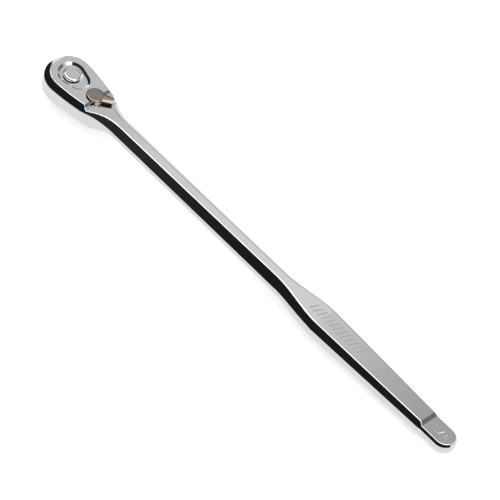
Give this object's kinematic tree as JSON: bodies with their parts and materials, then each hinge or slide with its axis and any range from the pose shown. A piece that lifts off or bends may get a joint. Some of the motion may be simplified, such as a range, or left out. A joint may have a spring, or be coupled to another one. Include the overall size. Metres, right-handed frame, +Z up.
{
  "type": "ratchet wrench",
  "caption": "Long-handle reversible ratchet wrench: square drive, quick-release button, reversing lever, teardrop head.",
  "frame": {"origin": "on the drive axis, in the shoulder plane at the root of the male square that a socket seats against", "axes": "+Z up out of the release button, +X from the drive axis to the tail of the handle"},
  "size_m": [0.3802, 0.0338, 0.028],
  "materials": {
    "polished_chrome": "mirror-polished chrome plate over forged steel",
    "smoked_chrome": "dark bronze-tinted chrome",
    "hardened_steel": "ground hardened steel, lightly oiled",
    "black_oxide": "black oxide on hardened steel",
    "spring_steel": "bright spring steel",
    "nitrile": "black nitrile rubber"
  },
  "bodies": {
    "handle": {"handle_forging": "polished_chrome", "cover_plate": "polished_chrome", "cover_screws": "black_oxide", "hub_seal": "nitrile", "thrust_washer": "hardened_steel", "drag_washer": "hardened_steel", "pawl_pin": "hardened_steel"},
    "drive": {"drive_gear": "polished_chrome", "button_ring": "spring_steel", "release_spring": "spring_steel"},
    "button": {"release_button": "polished_chrome", "release_pin": "hardened_steel"},
    "ball": {"detent_ball": "hardened_steel"},
    "lever": {"reverse_lever": "smoked_chrome", "lever_seal": "nitrile", "lever_clip": "spring_steel", "plunger_spring": "spring_steel"},
    "plunger": {"lever_plunger": "hardened_steel"},
    "pawl": {"pawl": "hardened_steel"}
  },
  "joints": [
    {"name": "drive_spin", "type": "hinge", "parent": "handle", "child": "drive", "pos_m": [0, 0, 0], "axis": [0, 0, 1], "continuous": true},
    {"name": "button_press", "type": "slide", "parent": "drive", "child": "button", "axis": [0, 0, -1], "range_m": [0, 0.0024], "stiffness_N_per_m": 1200, "deforming": ["release_spring"]},
    {"name": "ball_retract", "type": "slide", "parent": "drive", "child": "ball", "axis": [0, 1, 0], "range_m": [0, 0.00086]},
    {"name": "lever_turn", "type": "hinge", "parent": "handle", "child": "lever", "pos_m": [0.0217, 0, 0.0143], "axis": [0, 0, 1], "range_deg": [-70, 0]},
    {"name": "pawl_rock", "type": "hinge", "parent": "handle", "child": "pawl", "pos_m": [0.0142, 0, 0.0065], "axis": [0, 0, 1], "range_deg": [0, 12]},
    {"name": "plunger_slide", "type": "slide", "parent": "lever", "child": "plunger", "axis": [0.8192, 0.5736, 0], "range_m": [0, 0.0006], "stiffness_N_per_m": 800, "deforming": ["plunger_spring"]}
  ],
  "couplings": [
    {"joint": "ball_retract", "follows": "button_press", "ratio": 0.35833},
    {"joint": "pawl_rock", "follows": "lever_turn", "ratio": -0.17143}
  ]
}
